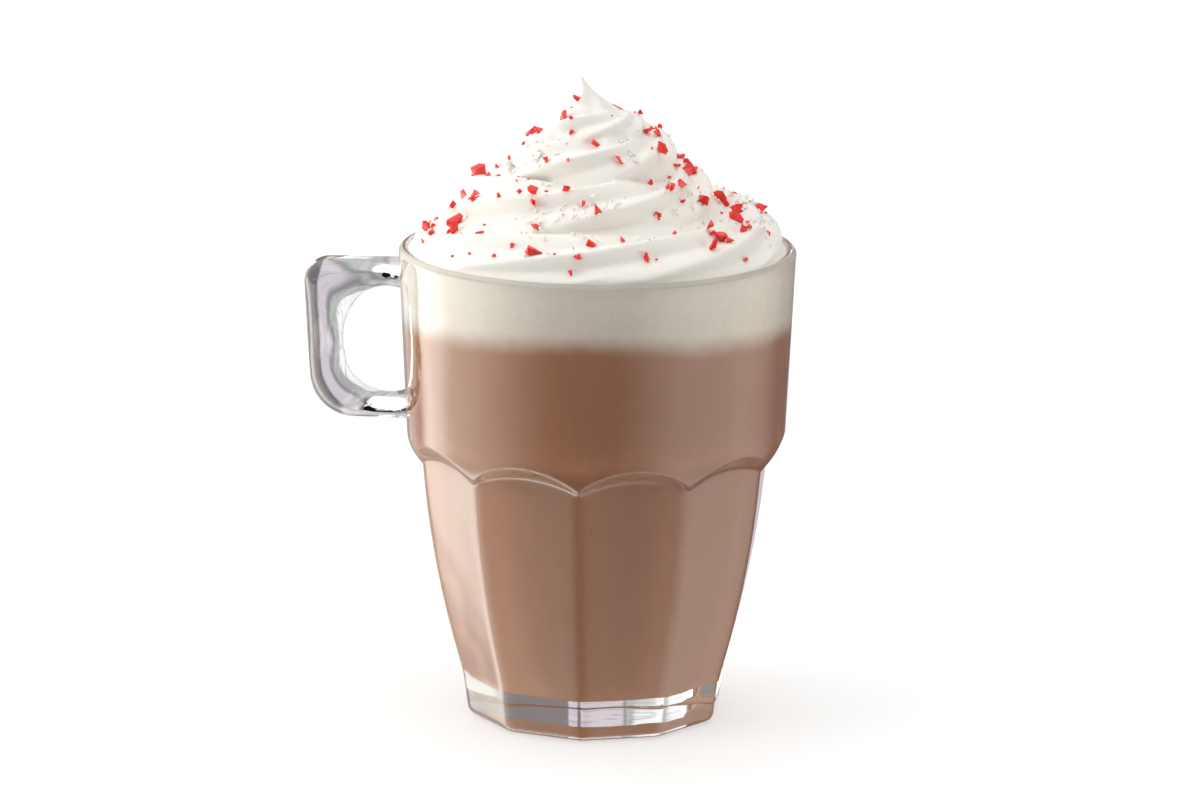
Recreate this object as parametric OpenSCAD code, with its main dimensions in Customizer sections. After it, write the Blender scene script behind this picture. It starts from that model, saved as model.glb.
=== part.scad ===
// A tall glass mug of hot chocolate: a ten-sided pressed glass with a handle, the drink, a layer of
// milk foam and a piped swirl of whipped cream. The origin is on the glass's axis, at its underside,
// and the handle points along -X.

/* [Glass] */
// Outer diameter at the rim
rim_d = 88; // [72:1:106]
// Height of the glass
glass_h = 106; // [86:1:128]
// Thickness of the wall at the rim
rim_wall = 2.8; // [2:0.1:3.6]
// Thickness of the glass under the drink
base_t = 9; // [6:0.5:14]
// Height of the straight block at the foot
foot_h = 10; // [7:0.5:13]
// Distance from the rim down to the lower edge of the smooth band
band_h = 42; // [34:0.5:52]
// How far the band narrows between rim and lower edge, on the radius
band_taper = 1.9; // [0.5:0.1:3]

/* [Sides] */
// Number of flat sides round the body
sides = 10; // [8:2:12]
// How far the corners between the sides stand in from the band, on the radius
shoulder_step = 2.7; // [2:0.1:4]
// Height of the rounded shoulder between the sides and the band
shoulder_h = 6; // [4:0.5:8]
// How far the corners stand in from shoulder to foot, on the radius
foot_step = 10.5; // [6:0.5:13]
// How far the sides bow out between foot and shoulder
side_bow = 1.4; // [0.5:0.1:2]
// How far the corners between the sides are rounded off
corner_round = 0.15; // [0.1:0.05:0.4]
// Thickness of the wall behind the middle of a side
side_wall = 4.4; // [3:0.1:5.5]

/* [Handle] */
// How far the handle stands out from the rim
handle_reach = 21.4; // [17:0.2:27]
// Height of the handle from its lower to its upper edge
handle_h = 34.8; // [28:0.2:42]
// Distance from the rim down to the handle's upper edge
handle_drop = 4; // [3:0.2:6]
// Width of the handle from side to side
handle_w = 12; // [9:0.5:15]
// Thickness of the handle's arms at their thinnest
arm_t = 4.6; // [3.8:0.2:6]
// Thickness of the handle's upright bar
bar_t = 7.8; // [6:0.2:9.4]
// Radius of the handle's upper corner
top_corner = 5; // [3:0.5:8]
// Radius of the handle's lower corner
low_corner = 8; // [4:0.5:10]

/* [Filling] */
// Distance from the rim down to the top of the foam
foam_drop = 3.4; // [3:0.1:6]
// Thickness of the milk foam on the drink
foam_t = 10.6; // [5:0.2:12]
// Height of the cream above the rim
cream_rise = 38.6; // [31:0.2:47]
// Gap between the cream's lowest coil and the wall
cream_gap = 0.6; // [0.2:0.1:2]
// Turns in the piped swirl
turns = 4.8; // [3:0.1:6]
// Depth of the groove between two turns
coil_depth = 4.2; // [2:0.1:5]
// Depth of the fine ridges left by the nozzle
ridge_depth = 1.2; // [0.4:0.1:1.6]
// How far the tip of the cream leans towards the handle
tip_lean = 3.5; // [0:0.1:6]

/* [Hidden] */
$fn = 96;
eps = 0.01;
past = 5;

rim_r = rim_d / 2;
lip_r = rim_wall / 2;
lip_z = glass_h - lip_r;
band_r = rim_r - band_taper;
band_z = glass_h - band_h;
shoulder_r = band_r - shoulder_step;
shoulder_z = band_z - shoulder_h;
foot_r = shoulder_r - foot_step;
flat_share = cos(180 / sides);

// The block at the foot widens a little upwards, and its lower edge is rounded.
foot_flare = 1.3;
foot_edge = 2;
foot_top_r = foot_r + foot_flare;

// Each side ends at the top in an arch, cut by a cone lying along the side's own direction.
arch_fall = 35.5;
arch_over = 0.5;
arch_spread = 0.766;
arch_z = band_z - arch_fall;
arch_r = arch_fall + arch_over;

// The cavity: a flat bottom, a curved lower part behind the sides and a straight upper part.
bottom_inset = 6.5;
waist_inset = 0.8;
lower_curve = 0.62;
bottom_r = foot_r * flat_share - bottom_inset;
mouth_r = rim_r - rim_wall;
waist_r = band_r - rim_wall - waist_inset;

cream_z = glass_h - foam_drop;
foam_z = cream_z - foam_t;

// ---- outlines ----

side_steps = 8;
side_run = [shoulder_r - foot_top_r, shoulder_z - foot_h];
side_out = [side_run[1], -side_run[0]] / norm(side_run);

// Corner of the sides at a share of the way up: a straight run, bowed outwards.
function side_point(t) = [foot_top_r, foot_h] + side_run * t + side_out * 4 * side_bow * t * (1 - t);

// The rounded corners have their own steps, so that none falls level with a step of the sides.
corner_steps = side_steps - 1;
corner_points = [for (i = [0 : corner_steps])
    side_point(0.01 + 0.98 * i / corner_steps) - [corner_round, 0]];

// Part of a rounded edge: steps along a quarter circle about a centre, from one angle to another.
function arc(centre, r, from, to, steps) =
    [for (i = [0 : steps]) let (a = from + (to - from) * i / steps) centre + r * [cos(a), sin(a)]];

// Outer outline: the rounded foot, the corners of the sides, the rounded shoulder, band and lip.
module outer_outline() {
    shoulder_steps = 5;
    corner_r = shoulder_r - corner_round;
    polygon(concat(
        [[0, 0]],
        arc([foot_r - corner_round - foot_edge, foot_edge], foot_edge, -90, 0, 3),
        corner_points,
        [for (i = [1 : shoulder_steps])
            let (t = i / shoulder_steps)
            [corner_r + (band_r - corner_r) * sin(90 * t), shoulder_z + shoulder_h * t]],
        arc([rim_r - lip_r, lip_z], lip_r, 0, 90, 6),
        [[0, glass_h]]));
}

// Radius of the cavity behind the sides, between the bottom and the shoulder.
function lower_cavity_r(z) =
    let (t = (z - base_t) / (shoulder_z - base_t), top = shoulder_r * flat_share - side_wall)
    bottom_r + (top - bottom_r) * pow(t, lower_curve) + 2 * side_bow * t * (1 - t);

// Radius of the cavity at any height above its bottom.
function cavity_r(z) =
    z >= band_z ? waist_r + (mouth_r - waist_r) * (z - band_z) / band_h
    : z > shoulder_z ? lower_cavity_r(shoulder_z)
        + (waist_r - lower_cavity_r(shoulder_z)) * (z - shoulder_z) / shoulder_h
    : lower_cavity_r(z);

cavity_steps = 10;
cavity_heights = concat(
    [for (i = [1 : cavity_steps]) base_t + (shoulder_z - base_t) * pow(i / cavity_steps, 1.5)],
    [band_z]);

// Outline of what fills the cavity between two heights, from the axis out to the wall.
function filling(z0, z1) = concat(
    [[0, z0], [z0 <= base_t ? bottom_r : cavity_r(z0), z0]],
    [for (z = cavity_heights) if (z > z0 + eps && z < z1 - eps) [cavity_r(z), z]],
    [[cavity_r(z1), z1]]);

// ---- glass ----

// What lies outside one side, seen from its edge: distance from the axis, and height. The foot's
// slope and the side's last run carry on past the glass.
module beyond_side() {
    far = rim_r + past;
    top = band_z + past;
    fall = foot_flare * (foot_h + past) / foot_h;
    polygon(concat(
        [[far, top], [far, -past], [(foot_top_r - fall) * flat_share, -past]],
        [for (i = [0 : side_steps])
            let (p = side_point(i / side_steps)) [p[0] * flat_share, p[1]]],
        [[side_point(1 + 2 / side_steps)[0] * flat_share, top]]));
}

// The arch over one side, with straight flanks below its centre.
module arch() {
    near = foot_r * flat_share - past;
    far = rim_r + past;
    translate([near, 0, arch_z])
        rotate([0, 90, 0])
            cylinder(
                h = far - near,
                r1 = arch_r + (near - band_r) * arch_spread,
                r2 = arch_r + (far - band_r) * arch_spread);
    translate([near, -rim_r, -past])
        cube([far - near, rim_d, arch_z + past]);
}

module side_cutter() {
    intersection() {
        rotate([90, 0, 0])
            linear_extrude(height = rim_d, center = true)
                beyond_side();
        arch();
    }
}

module glass_body() {
    difference() {
        rotate_extrude() outer_outline();
        for (i = [0 : sides - 1])
            rotate([0, 0, i * 360 / sides]) side_cutter();
    }
}

module cavity() {
    rotate_extrude()
        polygon(concat(
            filling(base_t, lip_z),
            arc([rim_r - lip_r, lip_z], lip_r, 180, 90, 6),
            [[rim_r - lip_r, glass_h + past], [0, glass_h + past]]));
}

// ---- handle ----

handle_corners = 12;
section_power = 0.62;
root_x = -(shoulder_r * flat_share - 1);
out_x = -(rim_r + handle_reach);
top_z = glass_h - handle_drop;
low_z = top_z - handle_h;
bar_lean = 1.2;

// The finger hole is an oval that ends inside the wall of the glass.
hole_share = 0.7;
hole_a = hole_share * (-out_x - bar_t - band_r);
hole_b = handle_h / 2 - arm_t;
hole_centre = [out_x + bar_t + hole_a, (top_z + low_z) / 2];

// Outer outline of the handle from root to root: a rounded corner above, a larger one below, and a
// bar between them that leans in towards the bottom.
handle_outline = concat(
    [[root_x, top_z], [(root_x + out_x) / 2, top_z]],
    arc([out_x + top_corner, top_z - top_corner], top_corner, 90, 180, 5),
    [for (t = [0.3, 0.7])
        [out_x + bar_lean * t, (top_z - top_corner) * (1 - t) + (low_z + low_corner) * t]],
    arc([out_x + bar_lean + low_corner, low_z + low_corner], low_corner, 180, 270, 5),
    [[(root_x + out_x) / 2, low_z], [root_x, low_z]]);

// Turns a circle's sine or cosine into a rounded rectangle's.
function squared(v) = sign(v) * pow(abs(v), section_power);

// One rounded section of the handle, from a point of its outline in to the edge of the hole.
function handle_section(p) =
    let (
        ray = p - hole_centre,
        edge = hole_centre + ray / norm([ray[0] / hole_a, ray[1] / hole_b]),
        middle = (p + edge) / 2,
        half = (p - edge) / 2
    )
    [for (k = [0 : handle_corners - 1])
        let (a = 360 * k / handle_corners, q = middle - half * squared(sin(a)))
        [q[0], handle_w / 2 * squared(cos(a)), q[1]]];

// Faces of a closed tube made of rings of points, with flat ends.
function tube_faces(rings, points) = concat(
    [[for (k = [0 : points - 1]) k]],
    [for (i = [0 : rings - 2], k = [0 : points - 1])
        let (a = i * points + k, b = i * points + (k + 1) % points)
        each [[a, b + points, b], [a, a + points, b + points]]],
    [[for (k = [points - 1 : -1 : 0]) (rings - 1) * points + k]]);

module handle() {
    polyhedron(
        points = [for (p = handle_outline) each handle_section(p)],
        faces = tube_faces(len(handle_outline), handle_corners));
}

module glass_mug() {
    color([0.85, 0.9, 0.92, 0.35])
        difference() {
            union() {
                glass_body();
                handle();
            }
            cavity();
        }
}

// ---- drink and foam ----

module hot_chocolate() {
    color([0.6, 0.42, 0.31])
        rotate_extrude() polygon(concat(filling(base_t, foam_z), [[0, foam_z]]));
}

module milk_foam() {
    color([0.88, 0.85, 0.8])
        rotate_extrude() polygon(concat(filling(foam_z, cream_z), [[0, cream_z]]));
}

// ---- cream ----

cream_rows = 48;
cream_columns = 84;
cream_curve = 0.82;
swirl_start = -0.4;
swirl_tilt = 0.29;
ridges_across = 3;
ridges_round = 11;
tip_r = 0.4;

// A point on the swirl, at a share of its height and an angle: a cone whose surface swells into a
// rising coil, with the nozzle's ridges slanting across it. Both fade out at the foot and the tip.
function cream_point(s, a) =
    let (
        top_r = mouth_r - cream_gap,
        slope = atan2(top_r, cream_rise),
        turn = swirl_start + turns * s - a / 360 - swirl_tilt * (1 - cos(a)) / 2,
        fade = min(1, s * 8) * min(1, (1 - s) * 4),
        coil = coil_depth * (abs(sin(180 * turn)) - 0.7),
        ridge = ridge_depth / 2 * cos(360 * (ridges_across * turn - ridges_round * a / 360)),
        out = (coil + ridge) * fade,
        r = max(tip_r, top_r * pow(1 - s, cream_curve) + out * cos(slope))
    )
    [r * cos(a) - tip_lean * pow(s, 3), r * sin(a), glass_h + cream_rise * s + out * sin(slope)];

module whipped_cream() {
    angles = [for (k = [0 : cream_columns - 1]) 360 * k / cream_columns];
    foot_ring = [for (a = angles) concat((cavity_r(cream_z) - cream_gap) * [cos(a), sin(a)], [cream_z])];
    swirl_rings = [for (i = [0 : cream_rows], a = angles) cream_point(i / cream_rows, a)];
    color([0.97, 0.95, 0.91])
        polyhedron(
            points = concat(foot_ring, swirl_rings),
            faces = tube_faces(cream_rows + 2, cream_columns));
}

glass_mug();
hot_chocolate();
milk_foam();
whipped_cream();
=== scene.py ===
"""A tall glass mug of hot chocolate with milk foam, a piped swirl of whipped cream and crushed candy."""
import math

import bmesh
import bpy
import numpy as np
from mathutils import Matrix, Vector
from mathutils.bvhtree import BVHTree


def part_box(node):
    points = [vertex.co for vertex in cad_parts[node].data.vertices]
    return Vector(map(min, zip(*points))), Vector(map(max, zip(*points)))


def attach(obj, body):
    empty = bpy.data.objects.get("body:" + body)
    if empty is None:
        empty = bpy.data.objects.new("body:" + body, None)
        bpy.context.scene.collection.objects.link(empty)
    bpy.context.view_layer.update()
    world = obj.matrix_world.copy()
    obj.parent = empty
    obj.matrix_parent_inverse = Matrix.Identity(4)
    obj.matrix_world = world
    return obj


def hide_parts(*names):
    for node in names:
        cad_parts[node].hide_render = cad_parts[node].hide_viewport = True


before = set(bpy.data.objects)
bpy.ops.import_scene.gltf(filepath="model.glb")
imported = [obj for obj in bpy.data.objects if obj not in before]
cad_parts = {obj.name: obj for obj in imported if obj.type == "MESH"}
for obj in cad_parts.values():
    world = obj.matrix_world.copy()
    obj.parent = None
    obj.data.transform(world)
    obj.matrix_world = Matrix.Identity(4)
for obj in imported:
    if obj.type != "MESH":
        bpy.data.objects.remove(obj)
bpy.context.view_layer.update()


# ---- The glass -------------------------------------------------------------------------------
# One piece of clear pressed glass: a smooth round band over ten flat sides that end in arches, a
# thick foot, and a handle pressed with it. The outside is a radius worked out for every angle and
# height, and the handle is fused to it.

MM = 0.001
scene = bpy.context.scene
glass_low, glass_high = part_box("glass_mug")
glass_h = glass_high.z
rim_r = glass_high.x
wall = 2.8 * MM
lip_r = wall / 2
base_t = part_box("hot_chocolate")[0].z
band_r = rim_r - 1.9 * MM
band_z = glass_h - 42 * MM
shoulder_r = band_r - 2.7 * MM
shoulder_z = band_z - 6 * MM
foot_r = shoulder_r - 10.5 * MM
foot_top_r = foot_r + 1.3 * MM
foot_h = 10 * MM
foot_edge = 2 * MM
waist_wall = wall + 0.8 * MM
side_wall = 4.4 * MM
foot_wall = 6.5 * MM
side_bow = 1.4 * MM
edge_soft = 0.25 * MM
arch_soft = 0.6 * MM
sides = 10
half_side = math.pi / sides
flat_share = math.cos(half_side)


def soft_min(a, b, soft):
    """The lesser of two heights, with their meeting line rounded over the distance soft."""
    return (a + b - np.sqrt((a - b) ** 2 + soft**2)) / 2


def soft_max(a, b, soft):
    """The greater of two heights, with their meeting line rounded over the distance soft."""
    return (a + b + np.sqrt((a - b) ** 2 + soft**2)) / 2


def corner_radius(z):
    """Radius of the corners between the sides: a straight foot block, then a bow up to the shoulder."""
    t = (z - foot_h) / (shoulder_z - foot_h)
    bowed = foot_top_r + (shoulder_r - foot_top_r) * t + 4 * side_bow * t * (1 - t)
    straight = foot_r + (foot_top_r - foot_r) * z / foot_h
    return soft_max(straight, bowed, edge_soft)


def round_radius(z):
    """Radius of the round body: just inside the corners, then a quarter curve out to the band."""
    inset = 0.2 * MM
    below = corner_radius(np.minimum(z, shoulder_z)) - inset
    t = np.clip((z - shoulder_z) / (band_z - shoulder_z), 0, 1)
    band = band_r + (rim_r - band_r) * np.clip((z - band_z) / (glass_h - band_z), 0, 1)
    return below + (band - below) * np.sin(t * math.pi / 2)


def off_centre(angle):
    """Angle from the middle of the nearest side."""
    return (angle + half_side) % (2 * half_side) - half_side


# Each arch is cut by a cone that lies along its side's own direction, with its axis arch_fall under
# the band. The cone's radius is arch_r at the band and grows outwards by arch_spread of the way.
arch_fall = 35.5 * MM
arch_z = band_z - arch_fall
arch_r = arch_fall + 0.5 * MM
arch_spread = 0.766


def arch_radius(angle, z):
    """Distance out to the arch over a side: where a cone that lies along the side's own direction,
    centred far down the glass, reaches up to this height."""
    k, s, c = arch_spread, np.sin(off_centre(angle)), np.cos(off_centre(angle))
    start = arch_r - k * band_r
    rise = np.maximum(z - arch_z, 0)
    square = k * k * c * c - s * s
    linear = 2 * k * c * start
    constant = start**2 - rise**2
    reach = (-linear + np.sqrt(np.maximum(linear**2 - 4 * square * constant, 0))) / (2 * square)
    return np.maximum(reach, 0)


def body_radius(angle, z):
    """Radius of the outside: the round body cut by each side's flat, as far up as its arch, and drawn
    in by a quarter round along the edge of the foot."""
    flat = corner_radius(z) * flat_share / np.cos(off_centre(angle))
    cut = soft_max(flat, arch_radius(angle, z), arch_soft)
    below = np.clip(foot_edge - z, 0, foot_edge)
    drawn_in = foot_edge - np.sqrt(foot_edge**2 - below**2)
    return soft_min(round_radius(z), cut, edge_soft) - drawn_in


def cavity_radius(z):
    """Radius of the cavity: a straight cone behind the band, drawn in behind the sides, rounded into
    a flat bottom."""
    mouth = rim_r - wall
    waist = band_r - waist_wall
    upper = waist + (mouth - waist) * (z - band_z) / (glass_h - band_z)
    t = np.clip((z - base_t) / (shoulder_z - base_t), 0, 1)
    behind = shoulder_r * flat_share - side_wall
    bottom = foot_r * flat_share - foot_wall
    lower = bottom + (behind - bottom) * t**0.62 + 2 * side_bow * t * (1 - t)
    over = 2 * MM
    ease = np.clip((z - shoulder_z + over) / (band_z - shoulder_z + 2 * over), 0, 1)
    return lower + (upper - lower) * ease * ease * (3 - 2 * ease)


def closed_surface(name, rings):
    """Joins rings of points, each going anticlockwise, into one closed surface. The first and last
    rings are closed by fans of triangles about their centres."""
    rows, columns = rings.shape[:2]
    here = np.arange(columns)
    beside = np.roll(here, -1)
    row = np.arange(rows - 1)[:, None] * columns
    quads = np.stack([row + here, row + beside, row + columns + beside, row + columns + here], -1)
    start = np.stack([beside, here, np.full(columns, rows * columns)], -1)
    top = (rows - 1) * columns
    end = np.stack([top + here, top + beside, np.full(columns, rows * columns + 1)], -1)
    points = np.vstack([rings.reshape(-1, 3), rings[0].mean(0), rings[-1].mean(0)])
    mesh = bpy.data.meshes.new(name)
    mesh.from_pydata(points.tolist(), [], quads.reshape(-1, 4).tolist() + start.tolist() + end.tolist())
    mesh.shade_smooth()
    piece = bpy.data.objects.new(name, mesh)
    scene.collection.objects.link(piece)
    return piece


def ring_points(angle, radius, z):
    """Points at a radius and height for every angle."""
    angle, radius, z = np.broadcast_arrays(angle, radius, z)
    return np.stack([radius * np.cos(angle), radius * np.sin(angle), z], -1)


def glass_body():
    """The glass without its handle, as rings from the middle of its underside out, up the outside,
    over the lip and down the cavity to the middle of its bottom."""
    # Columns crowd towards the corners, and start at the corner before the side that faces +X.
    per_side, crowding = 26, 0.12
    share = (np.arange(sides * per_side) % per_side) / per_side * 2 - 1
    side = np.arange(sides * per_side) // per_side
    angle = (2 * side + share + crowding * np.sin(math.pi * share) / math.pi * 2) * half_side

    # Rings crowd where the foot block ends and where the arches are.
    block_low, block_high = foot_h - 3 * MM, foot_h + 3 * MM
    arches_low, arches_high = shoulder_z - 4 * MM, band_z + 3 * MM
    heights = np.concatenate([
        foot_edge * (1 - np.cos(np.linspace(0, math.pi / 2, 7))),
        np.linspace(foot_edge, block_low, 5)[1:],
        np.linspace(block_low, block_high, 9)[1:],
        np.linspace(block_high, arches_low, 22)[1:],
        np.linspace(arches_low, arches_high, 48)[1:],
        np.linspace(arches_high, glass_h - lip_r, 16)[1:],
    ])[:, None]
    # Under each arch the rings droop towards the corners, so that they follow its curve.
    lateral = band_r * np.sin(off_centre(angle))
    droop = arch_r - np.sqrt(arch_r**2 - lateral**2)
    arches_middle, arches_reach = band_z - 2 * MM, 7 * MM
    near = np.exp(-(((heights - arches_middle) / arches_reach) ** 2))
    heights = heights - droop * near
    outside = ring_points(angle, body_radius(angle, heights), heights)

    # The underside is hollowed inside a narrow ring: it falls away steeply, then runs flat.
    hollow, flat_to, ring_from = 1.7 * MM, 0.52, 0.93
    shares = np.concatenate([[0.08, 0.25, 0.42], np.linspace(flat_to, ring_from, 14), [0.96]])[:, None]
    dome = hollow * (1 - np.clip((shares - flat_to) / (ring_from - flat_to), 0, 1) ** 2)
    underside = ring_points(angle, shares * body_radius(angle, np.zeros_like(angle)), dome)

    turn = np.linspace(0, math.pi, 13)[1:, None]
    lip = ring_points(angle, rim_r - lip_r + lip_r * np.cos(turn), glass_h - lip_r + lip_r * np.sin(turn))

    waist_high = band_z + 4 * MM
    down = np.concatenate([
        np.linspace(glass_h - lip_r, waist_high, 12)[1:],
        np.linspace(waist_high, arches_low, 15)[1:],
        base_t + (arches_low - base_t) * np.linspace(1, 0, 24)[1:] ** 2,
    ])[:, None]
    cavity = ring_points(angle, cavity_radius(down), down)
    bottom = ring_points(angle, np.array([0.9, 0.7, 0.4, 0.15])[:, None] * cavity_radius(base_t), base_t)
    return closed_surface("glass_mug_piece", np.concatenate([underside, outside, lip, cavity, bottom]))


def bevelled(turn):
    """A triangle wave between -1 and 1 with its peaks cut flat and the cuts softened: taken a quarter
    turn apart, two of them trace a rectangle with wide bevels."""
    cut_at, sharpness = 1.45, 8
    wave = cut_at * np.arcsin(0.999 * np.sin(turn)) * 2 / math.pi
    flattened = wave / (1 + np.abs(wave) ** sharpness) ** (1 / sharpness)
    return flattened / np.abs(flattened).max()


def arc(centre, radius, start, end, steps):
    """Points along part of a circle about a centre, between two angles in degrees."""
    a = np.radians(np.linspace(start, end, steps))
    return np.asarray(centre) + radius * np.stack([np.cos(a), np.sin(a)], -1)


def handle():
    """A rounded section carried round the finger hole: each runs from a point of the handle's outline
    in to the edge of the oval hole, in the plane y = 0, and across to both sides."""
    top_z = glass_h - 4 * MM
    low_z = top_z - 36 * MM
    out_x = glass_low.x
    bar, half_thick = 8.6 * MM, 6 * MM
    lean = 1.2 * MM
    top_corner, low_corner = 5.5 * MM, 10 * MM
    bar_top = np.array([out_x, top_z - top_corner])
    bar_low = np.array([out_x + lean, low_z + low_corner])
    # Where the two arms end, inside the wall of the glass.
    root_top, root_low = -42.2 * MM, -40.6 * MM
    along = np.linspace(0, 1, 7)[:-1, None]
    outline = np.concatenate([
        [root_top, top_z] + along * [out_x + top_corner - root_top, 0],
        arc([out_x + top_corner, top_z - top_corner], top_corner, 90, 180, 10),
        (bar_top + along * (bar_low - bar_top))[1:],
        arc([out_x + lean + low_corner, low_z + low_corner], low_corner, 180, 270, 12),
        ([out_x + lean + low_corner, low_z] + along * [root_low - out_x - lean - low_corner, 0])[1:],
        [[root_low, low_z]],
    ])
    hole_half, drop = 12.4 * MM, 0.4 * MM
    hole = np.array([0.7 * (-out_x - bar - band_r), hole_half])
    centre = np.array([out_x + bar + hole[0], (top_z + low_z) / 2 - drop])
    ray = outline - centre
    edge = centre + ray / np.linalg.norm(ray / hole, axis=1)[:, None]
    turn = np.linspace(0, 2 * math.pi, 64, endpoint=False)
    middle = (outline + edge)[:, None, :] / 2
    half = (outline - edge)[:, None, :] / 2
    plane = middle - half * bevelled(turn)[None, :, None]
    across = np.broadcast_to(half_thick * bevelled(turn + math.pi / 2), plane.shape[:2])
    return closed_surface("handle_piece", np.stack([plane[..., 0], across, plane[..., 1]], -1))


def fuse(piece, other):
    """Unites two closed pieces into the first and drops the second."""
    union = piece.modifiers.new("union", "BOOLEAN")
    union.operation = "UNION"
    union.solver = "MANIFOLD"
    union.object = other
    graph = bpy.context.evaluated_depsgraph_get()
    mesh = bpy.data.meshes.new_from_object(piece.evaluated_get(graph))
    piece.modifiers.clear()
    piece.data = mesh
    bpy.data.objects.remove(other)


def new_material(name, base, roughness, ior=1.45):
    """A material with one Principled shader; returns the material, its nodes, links and shader."""
    material = bpy.data.materials.new(name)
    material.use_nodes = True
    nodes, links = material.node_tree.nodes, material.node_tree.links
    shader = nodes["Principled BSDF"]
    shader.inputs["Base Color"].default_value = (*base, 1)
    shader.inputs["Roughness"].default_value = roughness
    shader.inputs["IOR"].default_value = ior
    return material, nodes, links, shader


def add_relief(nodes, links, shader, scale, distance, detail=3.0):
    """Gives a shader fine relief from noise on the piece's own coordinates; scale is per metre."""
    place = nodes.new("ShaderNodeTexCoord")
    noise = nodes.new("ShaderNodeTexNoise")
    noise.inputs["Scale"].default_value = scale
    noise.inputs["Detail"].default_value = detail
    bump = nodes.new("ShaderNodeBump")
    bump.inputs["Distance"].default_value = distance
    links.new(place.outputs["Object"], noise.inputs["Vector"])
    links.new(noise.outputs["Fac"], bump.inputs["Height"])
    links.new(bump.outputs["Normal"], shader.inputs["Normal"])
    return noise, bump


def pressed_glass():
    """Clear soda-lime glass with the faint waviness of pressing."""
    material, nodes, links, shader = new_material("pressed_glass", (0.97, 0.975, 0.975), 0.0, 1.5)
    shader.inputs["Transmission Weight"].default_value = 1.0
    noise, bump = add_relief(nodes, links, shader, 130, 0.7 * MM, 0.0)
    # The handle, out beyond the band, is far wavier than the body.
    split = nodes.new("ShaderNodeSeparateXYZ")
    wavy = nodes.new("ShaderNodeMapRange")
    for label, value in (
        ("From Min", -band_r), ("From Max", -band_r - 4 * MM), ("To Min", 0.17), ("To Max", 1.0)
    ):
        wavy.inputs[label].default_value = value
    links.new(noise.inputs["Vector"].links[0].from_socket, split.inputs[0])
    links.new(split.outputs["X"], wavy.inputs["Value"])
    links.new(wavy.outputs["Result"], bump.inputs["Strength"])
    # Shadow rays pass straight through, so that the lamps reach the drink.
    clear = nodes.new("ShaderNodeBsdfTransparent")
    path = nodes.new("ShaderNodeLightPath")
    either = nodes.new("ShaderNodeMixShader")
    links.new(path.outputs["Is Shadow Ray"], either.inputs["Fac"])
    links.new(shader.outputs["BSDF"], either.inputs[1])
    links.new(clear.outputs["BSDF"], either.inputs[2])
    links.new(either.outputs["Shader"], nodes["Material Output"].inputs["Surface"])
    return material


glass = glass_body()
fuse(glass, handle())
glass.data.shade_smooth()
glass.data.set_sharp_from_angle(angle=math.radians(38))
glass.data.materials.clear()
glass.data.materials.append(pressed_glass())
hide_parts("glass_mug")
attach(glass, "root")


# ---- The drink and its foam --------------------------------------------------------------------
# Milky hot chocolate up to a wavy line, where it blends into a pale band of milk foam. Both fill the
# cavity and reach a little into the wall, so that no air shows between them and the glass.

into_wall = 0.25 * MM
overlap = 0.6 * MM
drink_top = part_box("hot_chocolate")[1].z


def filling(name, z0, z1):
    """A closed body of what fills the cavity between two heights."""
    angle = np.linspace(0, 2 * math.pi, 160, endpoint=False)
    rise = (1 - np.cos(np.linspace(0, math.pi / 2, 60))) if z0 <= base_t else np.linspace(0, 1, 12)
    z = (z0 + (z1 - z0) * rise)[:, None]
    walls = ring_points(angle, cavity_radius(z) + into_wall, z)
    shares = np.array([0.2, 0.5, 0.8, 0.95])[:, None]
    low = ring_points(angle, shares * (cavity_radius(z[0]) + into_wall), z0)
    high = ring_points(angle, shares[::-1] * (cavity_radius(z[-1]) + into_wall), z1)
    body = closed_surface(name, np.concatenate([low, walls, high]))
    body.data.set_sharp_from_angle(angle=math.radians(50))
    return body


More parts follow.
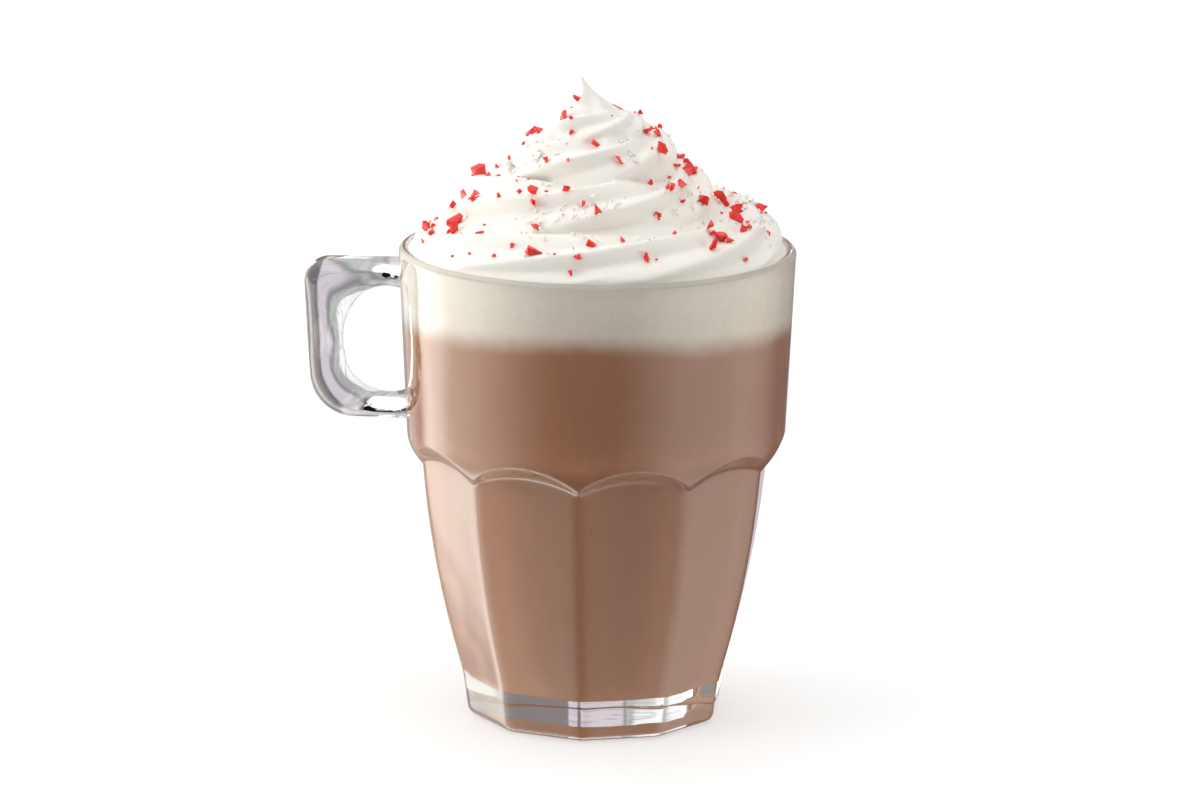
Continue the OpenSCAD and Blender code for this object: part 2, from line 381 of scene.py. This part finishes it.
def milky_layers():
    """A node group that gives the colour at a height in the drink: chocolate below, foam above, with
    a soft wavy line between them, and both mottled a little."""
    group = bpy.data.node_groups.new("milky_layers", "ShaderNodeTree")
    face = group.interface
    for label, kind, value in (
        ("Chocolate", "NodeSocketColor", (0.4, 0.2, 0.1, 1)),
        ("Foam", "NodeSocketColor", (0.8, 0.75, 0.7, 1)),
        ("Line", "NodeSocketFloat", 0.1),
        ("Blend", "NodeSocketFloat", 0.001),
    ):
        face.new_socket(label, in_out="INPUT", socket_type=kind).default_value = value
    face.new_socket("Color", in_out="OUTPUT", socket_type="NodeSocketColor")
    nodes, links = group.nodes, group.links
    given = nodes.new("NodeGroupInput")
    result = nodes.new("NodeGroupOutput")
    place = nodes.new("ShaderNodeTexCoord")
    split = nodes.new("ShaderNodeSeparateXYZ")
    waves = nodes.new("ShaderNodeTexNoise")
    waves.inputs["Scale"].default_value = 28
    waves.inputs["Detail"].default_value = 4
    waves.inputs["Roughness"].default_value = 0.62
    links.new(place.outputs["Object"], split.inputs[0])
    links.new(place.outputs["Object"], waves.inputs["Vector"])

    def maths(kind, a, b):
        node = nodes.new("ShaderNodeMath")
        node.operation = kind
        for socket, value in zip(node.inputs, (a, b)):
            if isinstance(value, (int, float)):
                socket.default_value = value
            else:
                links.new(value, socket)
        return node.outputs[0]

    wave = maths("MULTIPLY", maths("SUBTRACT", waves.outputs["Fac"], 0.5), 6 * MM)
    aside = maths("DIVIDE", split.outputs["X"], rim_r)
    wave = maths("ADD", wave, maths("MULTIPLY", maths("MULTIPLY", aside, aside), 2.5 * MM))
    above = maths("SUBTRACT", maths("ADD", split.outputs["Z"], wave), given.outputs["Line"])
    share = nodes.new("ShaderNodeMapRange")
    share.interpolation_type = "SMOOTHSTEP"
    links.new(above, share.inputs["Value"])
    links.new(maths("MULTIPLY", given.outputs["Blend"], -1), share.inputs["From Min"])
    links.new(given.outputs["Blend"], share.inputs["From Max"])
    mix = nodes.new("ShaderNodeMix")
    mix.data_type = "RGBA"
    links.new(share.outputs["Result"], mix.inputs["Factor"])
    links.new(given.outputs["Chocolate"], mix.inputs["A"])
    links.new(given.outputs["Foam"], mix.inputs["B"])
    mottle = nodes.new("ShaderNodeTexNoise")
    mottle.inputs["Scale"].default_value = 600
    mottle.inputs["Detail"].default_value = 5
    links.new(place.outputs["Object"], mottle.inputs["Vector"])
    shade = nodes.new("ShaderNodeMapRange")
    shade.inputs["To Min"].default_value = 0.93
    shade.inputs["To Max"].default_value = 1.07
    links.new(mottle.outputs["Fac"], shade.inputs["Value"])
    tint = nodes.new("ShaderNodeVectorMath")
    tint.operation = "SCALE"
    links.new(mix.outputs["Result"], tint.inputs[0])
    links.new(shade.outputs["Result"], tint.inputs["Scale"])
    links.new(tint.outputs[0], result.inputs["Color"])
    return group


layers = milky_layers()
chocolate_colour = (0.375, 0.182, 0.112)
foam_colour = (0.72, 0.67, 0.61)


def milky(name):
    """Drink or foam: the layered colour, matt, because both lie against the glass, which has the shine."""
    material, nodes, links, shader = new_material(name, chocolate_colour, 0.6, 1.35)
    shader.inputs["Specular IOR Level"].default_value = 0.0
    layered = nodes.new("ShaderNodeGroup")
    layered.node_tree = layers
    layered.inputs["Chocolate"].default_value = (*chocolate_colour, 1)
    layered.inputs["Foam"].default_value = (*foam_colour, 1)
    layered.inputs["Line"].default_value = drink_top
    layered.inputs["Blend"].default_value = 3 * MM
    links.new(layered.outputs["Color"], shader.inputs["Base Color"])
    return material


drink = filling("hot_chocolate_piece", base_t - into_wall, drink_top)
drink.data.materials.append(milky("chocolate_drink"))
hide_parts("hot_chocolate")
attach(drink, "root")

# The foam goes a hair further into the wall than the drink, so that their skins don't coincide.
into_wall += 0.04 * MM
foam = filling("milk_foam_piece", drink_top - overlap, glass_h - 0.7 * MM)
foam.data.materials.append(milky("milk_foam"))
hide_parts("milk_foam")
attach(foam, "root")


# ---- The whipped cream -------------------------------------------------------------------------
# Cream piped through a star nozzle: a rope with five sharp ridges that winds inwards and upwards
# anticlockwise, turning about itself as it goes, and is drawn off into a leaning tip. The rope and a
# core under it are merged into one skin.

# The cream is worked out in millimetres, and its closed surfaces are made in metres.
cream_top = round(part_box("whipped_cream")[1].z / MM, 1)


def smooth_step(low, high, value):
    """Rises smoothly from 0 to 1 between two values."""
    t = np.clip((value - low) / (high - low), 0, 1)
    return t * t * (3 - 2 * t)


def rope_middle(n):
    """Centre line of the rope after n turns: its radius falls off as an exponential, and it climbs by a
    fixed pitch, quickest where it passes behind, from the wall of the glass to under the tip."""
    turn = 2 * math.pi * n
    widest, start, shrink = 34.2, 32.5, 0.56
    lowest, first, pitch, behind, last = 105.0, 108.3, 9.3, 1.3, 131.4
    aside = 0.6
    radius = soft_min(start * np.exp(-shrink * n), widest + 0 * n, 1.0)
    waver = (1 - np.cos(turn)) * smooth_step(-0.6, -0.2, n) * (1 - smooth_step(2.0, 2.4, n))
    height = first + pitch * n + behind * waver
    height = soft_min(soft_max(height, lowest + 0 * n, 2.0), last + 0.5 * n, 1.0)
    return np.stack([radius * np.cos(turn) + aside, radius * np.sin(turn), height], -1)


def creased(phase):
    """A wave from 0 at sharp crests to 1 at creases a little rounded, with straight flanks."""
    crispness = 0.985
    return np.arcsin(crispness * np.abs(np.sin(phase))) / math.asin(crispness)


def cream_rope():
    """A star-shaped section carried along the spiral, longer down the slope of the swirl than across
    it. Its ridges turn about the rope as it winds, and it is pressed in where it meets the glass."""
    begin, end = -1.45, 3.2
    n = np.linspace(begin, end, 800)
    middle = rope_middle(n)
    along = np.gradient(middle, axis=0)
    along /= np.linalg.norm(along, axis=1)[:, None]
    turn = 2 * math.pi * n
    outward = np.stack([np.cos(turn), np.sin(turn), np.zeros_like(n)], -1)
    outward -= (outward * along).sum(1)[:, None] * along
    outward /= np.linalg.norm(outward, axis=1)[:, None]
    upward = np.cross(outward, along)
    thick = 7.3 - 1.7 * smooth_step(0.4, 2.6, n) - 2.2 * smooth_step(2.5, end, n)
    thick = thick * (1 + 0.03 * np.sin(3.1 * turn) + 0.03 * np.sin(5.3 * turn + 1))
    thick = thick * (0.2 + 0.8 * np.sqrt(smooth_step(begin, begin + 0.2, n)))
    section = np.linspace(0, 2 * math.pi, 120, endpoint=False)
    ridges, turns_about, depth = 5, 1.1, 0.33
    wave = creased(ridges / 2 * (section[None, :] - turns_about * turn[:, None]))
    radius = thick[:, None] * (1.03 - depth * wave)
    # Down the slope of the swirl the section is stretched, so that neighbouring turns meet.
    slope, stretch = math.radians(148), 0.1
    radius = radius * (1 + stretch * np.cos(2 * (section - slope)))
    rings = (
        middle[:, None, :]
        + (radius * np.cos(section))[..., None] * outward[:, None, :]
        + (radius * np.sin(section))[..., None] * upward[:, None, :]
    )
    distance = np.hypot(rings[..., 0], rings[..., 1])
    room = 40.9 + 2.2 * smooth_step(104.8, 107.5, rings[..., 2])
    rings[..., :2] *= np.minimum(1, room / np.maximum(distance, 1))[..., None]
    return closed_surface("cream_rope", rings * MM)


def cream_tip():
    """The drawn-off tip: a peak whose radius falls with the power 1.8 of the height that is left, with
    four sharp folds that turn as they rise, leaning over towards its point. It ends a little over the
    CAD's top, because merging takes off the very point."""
    foot, over, wide, lean = 131, 0.3, 14, 5.1
    t = np.linspace(0, 1, 90)[:, None]
    angle = np.linspace(0, 2 * math.pi, 96, endpoint=False)
    folds = creased(2 * (angle - 0.15 - 1.5 * t**1.5))
    radius = (wide * (1 - t) ** 1.8 + 0.15) * (1 - 0.4 * folds * (1 - 0.5 * t))
    z = foot + (cream_top + over - foot) * t + 0 * angle
    x = radius * np.cos(angle) + 0.8 - lean * t**1.2
    y = radius * np.sin(angle) - 0.5 * t
    return closed_surface("cream_tip", np.stack([x, y, z], -1) * MM)


def cream_core():
    """The cream under the rope: a low cone that fills the mouth of the glass, touches its wall all
    round and ends under the tip."""
    profile = np.array([
        [38, 103.5], [40.9, 103.5], [40.9, 104.6], [41.7, 105.4], [41.3, 106.2], [39, 108.5],
        [35, 110.5], [29.5, 113.5], [24, 117], [18, 121], [13, 125], [9, 129.5], [5, 133], [2, 135],
    ])
    angle = np.linspace(0, 2 * math.pi, 120, endpoint=False)
    return closed_surface("cream_core", ring_points(angle, profile[:, :1], profile[:, 1:]) * MM)


def merged(name, parts, voxel, smoothing):
    """Merges closed parts into one closed skin of even cells, smoothed a little."""
    whole = parts[0]
    with bpy.context.temp_override(active_object=whole, selected_editable_objects=parts):
        bpy.ops.object.join()
    skin = whole.modifiers.new("skin", "REMESH")
    skin.mode = "VOXEL"
    skin.voxel_size = voxel
    even = whole.modifiers.new("even", "SMOOTH")
    even.factor = 0.5
    even.iterations = smoothing
    graph = bpy.context.evaluated_depsgraph_get()
    mesh = bpy.data.meshes.new_from_object(whole.evaluated_get(graph))
    mesh.name = name
    whole.modifiers.clear()
    whole.data = mesh
    whole.name = name
    mesh.shade_smooth()
    return whole


def whipped_cream():
    """Soft dairy cream: warm white, satin, with light passing a little way into it."""
    material, nodes, links, shader = new_material("whipped_cream", (0.93, 0.905, 0.855), 0.5, 1.4)
    shader.inputs["Subsurface Weight"].default_value = 0.15
    shader.inputs["Subsurface Radius"].default_value = (1.0, 0.8, 0.6)
    shader.inputs["Subsurface Scale"].default_value = 2 * MM
    add_relief(nodes, links, shader, 900, 0.06 * MM, 4.0)
    return material


cell = 0.49 * MM
cream = merged("whipped_cream_piece", [cream_rope(), cream_tip(), cream_core()], cell, 1)
cream.data.materials.clear()
cream.data.materials.append(whipped_cream())
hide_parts("whipped_cream")
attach(cream, "root")


# ---- The crushed candy -------------------------------------------------------------------------
# Boiled peppermint candy broken into sharp chips and grains, red and white, strewn over the cream and
# half sunk in it. Each chip is the convex hull of random points in a ball.

chance = np.random.default_rng(11)
graph = bpy.context.evaluated_depsgraph_get()
cream_skin = BVHTree.FromObject(cream, graph)


def shards(kinds, corners):
    """Shapes of broken pieces: the convex hull of random points in a ball, each as its own points and
    triangles."""
    shapes = []
    for _ in range(kinds):
        work = bmesh.new()
        for point in chance.normal(size=(corners, 3)):
            work.verts.new(point / np.linalg.norm(point) * chance.uniform(0.75, 1.0))
        hull = bmesh.ops.convex_hull(work, input=work.verts[:])
        bmesh.ops.delete(work, geom=hull["geom_interior"], context="VERTS")
        bmesh.ops.recalc_face_normals(work, faces=work.faces[:])
        work.verts.index_update()
        points = np.array([v.co[:] for v in work.verts])
        faces = np.array([[v.index for v in f.verts] for f in work.faces])
        work.free()
        shapes.append((points, faces))
    return shapes


def random_turns(count):
    """Random rotation matrices, from random unit quaternions."""
    drawn = chance.normal(size=(4, count))
    w, x, y, z = drawn / np.linalg.norm(drawn, axis=0)
    return np.stack([
        1 - 2 * (y * y + z * z), 2 * (x * y - z * w), 2 * (x * z + y * w),
        2 * (x * y + z * w), 1 - 2 * (x * x + z * z), 2 * (y * z - x * w),
        2 * (x * z - y * w), 2 * (y * z + x * w), 1 - 2 * (x * x + y * y),
    ], -1).reshape(-1, 3, 3)


def chips(name, places, sizes, corners):
    """Broken chips at places: each is one of twelve shards, squashed and turned at random."""
    kinds = shards(12, corners)
    turns = random_turns(len(places))
    squash = chance.uniform(0.45, 1.0, (len(places), 3))
    points, faces, total = [], [], 0
    for number, (place, size) in enumerate(zip(places, sizes)):
        shape, triangles = kinds[number % len(kinds)]
        points.append((shape * squash[number] * size) @ turns[number].T + place)
        faces.append(triangles + total)
        total += len(shape)
    mesh = bpy.data.meshes.new(name)
    mesh.from_pydata(np.concatenate(points).tolist(), [], np.concatenate(faces).tolist())
    piece = bpy.data.objects.new(name, mesh)
    scene.collection.objects.link(piece)
    return piece


def strewn(sizes, sunk, clumps=0):
    """Places on the cream under a shower of bits: evenly over the swirl, or about random clumps."""
    nearest, spread = 3, 37
    furthest, scatter = 40 * MM, 2.6 * MM
    centres = chance.uniform(0, 1, (max(clumps, 1), 2))
    places = []
    while len(places) < len(sizes):
        u, v = centres[chance.integers(clumps)] if clumps else chance.uniform(0, 1, 2)
        r = (nearest + spread * math.sqrt(v)) * MM
        x, y = r * math.cos(2 * math.pi * u), r * math.sin(2 * math.pi * u)
        if clumps:
            x, y = np.array([x, y]) + chance.normal(0, scatter, 2)
        hit, normal, _, _ = cream_skin.ray_cast(Vector((x, y, 0.2)), Vector((0, 0, -1)))
        if hit is None or hit.z < glass_h or math.hypot(x, y) > furthest:
            continue
        places.append((hit + normal * sizes[len(places)] * sunk)[:])
    return np.array(places)


def candy(name, base, clear):
    """Boiled sugar: glossy, its colour uneven from bit to bit; clear is how much light passes into it."""
    material, nodes, links, shader = new_material(name, base, 0.25, 1.5)
    shader.inputs["Subsurface Weight"].default_value = clear
    shader.inputs["Subsurface Radius"].default_value = (1.0, 0.4, 0.4)
    shader.inputs["Subsurface Scale"].default_value = 0.8 * MM
    place = nodes.new("ShaderNodeTexCoord")
    noise = nodes.new("ShaderNodeTexNoise")
    noise.inputs["Scale"].default_value = 400
    links.new(place.outputs["Object"], noise.inputs["Vector"])
    ramp = nodes.new("ShaderNodeMapRange")
    ramp.inputs["From Min"].default_value = 0.35
    ramp.inputs["From Max"].default_value = 0.7
    links.new(noise.outputs["Fac"], ramp.inputs["Value"])
    mix = nodes.new("ShaderNodeMix")
    mix.data_type = "RGBA"
    mix.inputs["A"].default_value = (*base, 1)
    mix.inputs["B"].default_value = (*[min(part * 1.2 + 0.05, 0.95) for part in base], 1)
    links.new(ramp.outputs["Result"], mix.inputs["Factor"])
    links.new(mix.outputs["Result"], shader.inputs["Base Color"])
    return material


# A hundred larger red chips and 110 small ones, then the white grains.
red_sizes = np.concatenate([chance.uniform(1.4, 2.9, 100), chance.uniform(0.4, 1.3, 110)]) * MM
red = chips("red_candy_chips", strewn(red_sizes, 0.3), red_sizes, 9)
red.data.materials.append(candy("red_candy", (0.8, 0.018, 0.014), 0.05))
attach(red, "root")

grain_sizes = chance.uniform(0.35, 1.25, 650) * MM
white = chips("white_candy_grains", strewn(grain_sizes, 0.25, clumps=34), grain_sizes, 8)
white.data.materials.append(candy("white_candy", (0.95, 0.93, 0.9), 0.0))
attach(white, "root")


# ---- The floor, the light and the camera ---------------------------------------------------------
# A plain pale floor that glass and reflections leave out, and a surround of light panels over a
# lavender and grey backdrop, which lights the scene and shows in the glass. A strong soft lamp on the
# left and a weak one on the right. A long lens a little above the rim.

floor_mesh = bpy.data.meshes.new("floor")
# It lies a hair under the glass, so that the two don't share a plane.
reach, under = 6.0, -0.3 * MM
floor_mesh.from_pydata(
    [(-reach, -reach, under), (reach, -reach, under), (reach, reach, under), (-reach, reach, under)],
    [], [(0, 1, 2, 3)])
floor = bpy.data.objects.new("floor", floor_mesh)
scene.collection.objects.link(floor)
paper, nodes, links, shader = new_material("pale_floor", (0.6, 0.6, 0.6), 0.8)
shader.inputs["Emission Color"].default_value = (1, 1, 1, 1)
path = nodes.new("ShaderNodeLightPath")
lift = nodes.new("ShaderNodeMath")
lift.operation = "MULTIPLY"
lift.inputs[1].default_value = 0.47
links.new(path.outputs["Is Camera Ray"], lift.inputs[0])
links.new(lift.outputs[0], shader.inputs["Emission Strength"])
floor.data.materials.append(paper)
floor.visible_glossy = False
floor.visible_transmission = False

# The surround is drawn by height and by bearing, which is measured from -X and from +X.
world = bpy.data.worlds.new("studio")
scene.world = world
world.use_nodes = True
nodes, links = world.node_tree.nodes, world.node_tree.links
place = nodes.new("ShaderNodeTexCoord")
split = nodes.new("ShaderNodeSeparateXYZ")
links.new(place.outputs["Generated"], split.inputs[0])
from_left, from_right, mirrored = (nodes.new("ShaderNodeMath") for _ in range(3))
mirrored.operation = "MULTIPLY"
mirrored.inputs[1].default_value = -1
links.new(split.outputs["X"], mirrored.inputs[0])
for bearing, ahead in ((from_left, mirrored.outputs[0]), (from_right, split.outputs["X"])):
    bearing.operation = "ARCTAN2"
    links.new(split.outputs["Y"], bearing.inputs[0])
    links.new(ahead, bearing.inputs[1])
from_left, from_right, height = from_left.outputs[0], from_right.outputs[0], split.outputs["Z"]


def ramp(value, low, high, top=1.0):
    """Rises smoothly from 0 to top between two values of a socket."""
    mask = nodes.new("ShaderNodeMapRange")
    mask.interpolation_type = "SMOOTHSTEP"
    mask.inputs["From Min"].default_value = low
    mask.inputs["From Max"].default_value = high
    mask.inputs["To Max"].default_value = top
    links.new(value, mask.inputs["Value"])
    return mask.outputs["Result"]


def panel(under, colour, masks):
    """Lays a panel of light over the ones before it, where all its masks meet."""
    share = masks[0]
    for mask in masks[1:]:
        both = nodes.new("ShaderNodeMath")
        both.operation = "MULTIPLY"
        links.new(share, both.inputs[0])
        links.new(mask, both.inputs[1])
        share = both.outputs[0]
    blend = nodes.new("ShaderNodeMix")
    blend.data_type = "RGBA"
    links.new(share, blend.inputs["Factor"])
    if isinstance(under, tuple):
        blend.inputs["A"].default_value = (*under, 1)
    else:
        links.new(under, blend.inputs["A"])
    blend.inputs["B"].default_value = (*colour, 1)
    return blend.outputs["Result"]


# Faint level streaks run along the backdrop.
level = nodes.new("ShaderNodeVectorMath")
level.operation = "MULTIPLY"
level.inputs[1].default_value = (1.5, 1.5, 14)
links.new(place.outputs["Generated"], level.inputs[0])
streaks = nodes.new("ShaderNodeTexNoise")
streaks.inputs["Scale"].default_value = 2.5
links.new(level.outputs[0], streaks.inputs["Vector"])
# From right to left the backdrop is dark, lavender, dark grey, grey and white. The side panels reach
# down from just above the horizon, a broad and a narrow one on the left and one on the right. The
# last panel is overhead.
behind, low_down = ramp(split.outputs["Y"], 0.0, 0.4), ramp(height, 0.12, 0.02)
light = panel((0.16, 0.155, 0.15), (0.7, 0.64, 0.7), [behind])
light = panel(light, (0.19, 0.155, 0.165), [behind, ramp(from_right, 1.52, 1.44)])
light = panel(light, (0.3, 0.3, 0.31), [behind, ramp(from_right, 1.7, 1.78)])
light = panel(light, (0.5, 0.52, 0.51), [behind, ramp(from_right, 1.79, 1.86)])
light = panel(light, (1.05, 1.07, 1.07), [behind, ramp(from_right, 2.0, 2.08)])
light = panel(light, (0.28, 0.26, 0.28), [behind, ramp(streaks.outputs["Fac"], 0.5, 0.75, 0.6)])
light = panel(light, (3.2, 3.2, 2.9), [ramp(from_left, -1.3, -0.1), ramp(from_left, 0.7, 0.45), low_down])
light = panel(light, (5.2, 5.2, 4.8), [ramp(from_left, 0.0, 0.25), ramp(from_left, 0.65, 0.4), low_down])
right_side = [ramp(from_right, -1.35, -0.5), ramp(from_right, 1.0, 0.1), low_down]
light = panel(light, (2.2, 2.15, 1.95), right_side)
light = panel(light, (1.6, 1.6, 1.55), [ramp(height, 0.68, 0.78)])
links.new(light, nodes["Background"].inputs["Color"])


def soft_lamp(name, place, size, power):
    """A square lamp at a place, turned towards the middle of the glass, that mirrors leave out."""
    lamp = bpy.data.lights.new(name, "AREA")
    lamp.size = size
    lamp.energy = power
    holder = bpy.data.objects.new(name, lamp)
    holder.location = place
    holder.rotation_euler = (Vector((0, 0, 0.08)) - Vector(place)).to_track_quat("-Z", "Y").to_euler()
    holder.visible_glossy = False
    holder.visible_transmission = False
    scene.collection.objects.link(holder)


soft_lamp("key", (-1.1, -0.3, 0.4), 0.7, 7.2)
soft_lamp("fill", (1.1, -0.5, 0.35), 0.7, 2.7)

azimuth, elevation, distance = math.radians(5.6), math.radians(13.5), 1.2
back = Vector((
    math.sin(azimuth) * math.cos(elevation),
    -math.cos(azimuth) * math.cos(elevation),
    math.sin(elevation),
))
camera = bpy.data.objects.new("camera", bpy.data.cameras.new("camera"))
camera.data.sensor_width = 36
camera.data.lens = 161.5
camera.location = Vector((0, 0, 0.06)) + back * distance
aim = Vector((0.0008, 0, 0.071)) - camera.location
camera.rotation_mode = "QUATERNION"
camera.rotation_quaternion = aim.to_track_quat("-Z", "Y")
camera.rotation_quaternion @= Matrix.Rotation(math.radians(0.45), 4, "Z").to_quaternion()
scene.collection.objects.link(camera)
scene.camera = camera
scene.view_settings.view_transform = "Standard"
